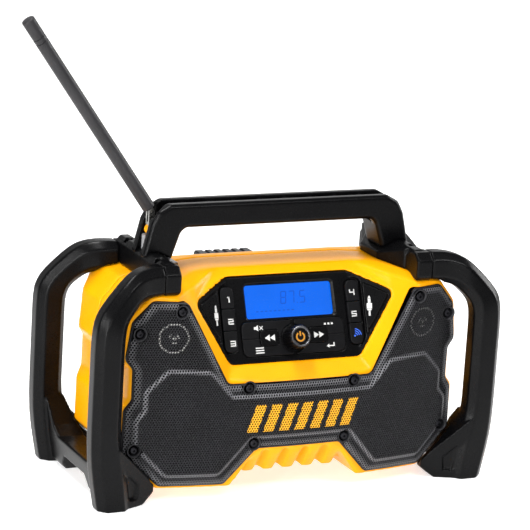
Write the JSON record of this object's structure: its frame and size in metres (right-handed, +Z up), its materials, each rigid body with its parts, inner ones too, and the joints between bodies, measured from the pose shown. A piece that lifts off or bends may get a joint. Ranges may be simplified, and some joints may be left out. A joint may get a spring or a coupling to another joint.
{
  "type": "jobsite radio",
  "caption": "Rugged portable jobsite radio with caged side guards, perforated speaker grille, sloped control panel with display, keys and knob, carry handle, folding antenna, rear battery door.",
  "frame": {"origin": "centre of the bounding box's bottom, on the surface that the four feet stand on", "axes": "+X to the right seen from the front, +Y from the control panel to the battery door, +Z up"},
  "size_m": [0.4692, 0.1856, 0.4445],
  "materials": {
    "housing_yellow": "moulded, satin gloss",
    "black_plastic": "fine moulded texture",
    "grille_black": "powder coated, satin",
    "key_rubber": "soft matt",
    "antenna_rubber": "satin",
    "seal_rubber": "matt",
    "window_clear": "clear, polished",
    "display_blue": "lit from behind",
    "bright_metal": "polished",
    "screw_steel": "zinc plated",
    "board_green": "solder mask",
    "socket_black": "moulded",
    "speaker_metal": "grey coat",
    "cone_black": "pressed paper, coated"
  },
  "bodies": {
    "radio": {"front_housing": "housing_yellow", "rear_housing": "housing_yellow", "speaker_grille": "grille_black", "control_fascia": "black_plastic", "display_window": "window_clear", "display_module": "display_blue", "control_board": "board_green", "rotary_encoder": "socket_black", "charge_socket": "socket_black", "aux_socket": "socket_black", "main_board": "board_green", "power_supply": "socket_black", "battery_terminals": "socket_black", "door_hinge_pin": "screw_steel", "carry_handle": "black_plastic", "antenna_base": "black_plastic", "left_woofer_frame": "speaker_metal", "right_woofer_frame": "speaker_metal", "left_woofer_surround": "seal_rubber", "right_woofer_surround": "seal_rubber", "left_tweeter": "speaker_metal", "right_tweeter": "speaker_metal", "left_bracket": "black_plastic", "right_bracket": "black_plastic", "left_cage": "black_plastic", "right_cage": "black_plastic", "grille_screws": "screw_steel", "bracket_screws": "screw_steel", "handle_screws": "screw_steel", "cage_screws": "screw_steel", "housing_screws": "screw_steel"},
    "door": {"battery_door": "black_plastic", "latch_pin": "screw_steel", "door_seal": "seal_rubber"},
    "latch": {"door_latch": "black_plastic"},
    "preset_1": {"preset_key_1": "key_rubber"},
    "preset_2": {"preset_key_2": "key_rubber"},
    "preset_3": {"preset_key_3": "key_rubber"},
    "preset_4": {"preset_key_4": "key_rubber"},
    "preset_5": {"preset_key_5": "key_rubber"},
    "preset_6": {"preset_key_6": "key_rubber"},
    "mute": {"mute_key": "key_rubber"},
    "mode": {"mode_key": "key_rubber"},
    "menu": {"menu_key": "key_rubber"},
    "enter": {"enter_key": "key_rubber"},
    "rewind": {"rewind_key": "black_plastic"},
    "forward": {"forward_key": "black_plastic"},
    "power": {"power_button": "key_rubber"},
    "volume": {"volume_ring": "black_plastic"},
    "charge_cover": {"charge_port_cover": "black_plastic"},
    "aux_cover": {"aux_port_cover": "black_plastic"},
    "left_cone": {"left_woofer_cone": "cone_black"},
    "right_cone": {"right_woofer_cone": "cone_black"},
    "antenna_swivel": {"antenna_ball": "housing_yellow", "antenna_tongue": "bright_metal", "antenna_pin": "bright_metal"},
    "antenna_mast": {"antenna_mast": "antenna_rubber", "mast_ferrule": "bright_metal"}
  },
  "joints": [
    {"name": "door_hinge", "type": "hinge", "parent": "radio", "child": "door", "pos_m": [0.01512, 0.08355, 0.037], "axis": [-1, 0, 0], "range_deg": [0, 92]},
    {"name": "latch_hinge", "type": "hinge", "parent": "door", "child": "latch", "pos_m": [0.01512, 0.08755, 0.16], "axis": [-1, 0, 0], "range_deg": [0, 30]},
    {"name": "preset_1_press", "type": "slide", "parent": "radio", "child": "preset_1", "axis": [0, 0.922, -0.3872], "range_m": [0, 0.0012], "stiffness_N_per_m": 700, "springref_m": -0.0008},
    {"name": "preset_2_press", "type": "slide", "parent": "radio", "child": "preset_2", "axis": [0, 0.922, -0.3872], "range_m": [0, 0.0012], "stiffness_N_per_m": 700, "springref_m": -0.0008},
    {"name": "preset_3_press", "type": "slide", "parent": "radio", "child": "preset_3", "axis": [0, 0.922, -0.3872], "range_m": [0, 0.0012], "stiffness_N_per_m": 700, "springref_m": -0.0008},
    {"name": "preset_4_press", "type": "slide", "parent": "radio", "child": "preset_4", "axis": [0, 0.922, -0.3872], "range_m": [0, 0.0012], "stiffness_N_per_m": 700, "springref_m": -0.0008},
    {"name": "preset_5_press", "type": "slide", "parent": "radio", "child": "preset_5", "axis": [0, 0.922, -0.3872], "range_m": [0, 0.0012], "stiffness_N_per_m": 700, "springref_m": -0.0008},
    {"name": "preset_6_press", "type": "slide", "parent": "radio", "child": "preset_6", "axis": [0, 0.922, -0.3872], "range_m": [0, 0.0012], "stiffness_N_per_m": 700, "springref_m": -0.0008},
    {"name": "mute_press", "type": "slide", "parent": "radio", "child": "mute", "axis": [0, 0.922, -0.3872], "range_m": [0, 0.0012], "stiffness_N_per_m": 700, "springref_m": -0.0008},
    {"name": "mode_press", "type": "slide", "parent": "radio", "child": "mode", "axis": [0, 0.922, -0.3872], "range_m": [0, 0.0012], "stiffness_N_per_m": 700, "springref_m": -0.0008},
    {"name": "menu_press", "type": "slide", "parent": "radio", "child": "menu", "axis": [0, 0.922, -0.3872], "range_m": [0, 0.0012], "stiffness_N_per_m": 700, "springref_m": -0.0008},
    {"name": "enter_press", "type": "slide", "parent": "radio", "child": "enter", "axis": [0, 0.922, -0.3872], "range_m": [0, 0.0012], "stiffness_N_per_m": 700, "springref_m": -0.0008},
    {"name": "rewind_press", "type": "slide", "parent": "radio", "child": "rewind", "axis": [0, 0.922, -0.3872], "range_m": [0, 0.0012], "stiffness_N_per_m": 700, "springref_m": -0.0008},
    {"name": "forward_press", "type": "slide", "parent": "radio", "child": "forward", "axis": [0, 0.922, -0.3872], "range_m": [0, 0.0012], "stiffness_N_per_m": 700, "springref_m": -0.0008},
    {"name": "power_press", "type": "slide", "parent": "radio", "child": "power", "axis": [0, 0.922, -0.3872], "range_m": [0, 0.001], "stiffness_N_per_m": 700, "springref_m": -0.0008},
    {"name": "volume_turn", "type": "hinge", "parent": "radio", "child": "volume", "pos_m": [0.02562, -0.06999, 0.14876], "axis": [0, -0.922, 0.3872], "continuous": true},
    {"name": "charge_cover_hinge", "type": "hinge", "parent": "radio", "child": "charge_cover", "pos_m": [-0.05097, -0.05729, 0.16958], "axis": [0, 0.3662, 0.9305], "range_deg": [0, 100]},
    {"name": "aux_cover_hinge", "type": "hinge", "parent": "radio", "child": "aux_cover", "pos_m": [0.10222, -0.05729, 0.16958], "axis": [0, -0.3662, -0.9305], "range_deg": [0, 100]},
    {"name": "left_cone_travel", "type": "slide", "parent": "radio", "child": "left_cone", "axis": [0.1627, 0.9867, 0], "range_m": [-0.0015, 0.0015], "stiffness_N_per_m": 1500},
    {"name": "right_cone_travel", "type": "slide", "parent": "radio", "child": "right_cone", "axis": [-0.1627, 0.9867, 0], "range_m": [-0.0015, 0.0015], "stiffness_N_per_m": 1500},
    {"name": "antenna_swivel", "type": "hinge", "parent": "radio", "child": "antenna_swivel", "pos_m": [-0.10138, -0.00245, 0.2427], "axis": [0, 0, 1], "range_deg": [-60, 60]},
    {"name": "antenna_tilt", "type": "hinge", "parent": "antenna_swivel", "child": "antenna_mast", "pos_m": [-0.10138, -0.00245, 0.2605], "axis": [0, 1, 0], "range_deg": [-34, 35.4]}
  ]
}
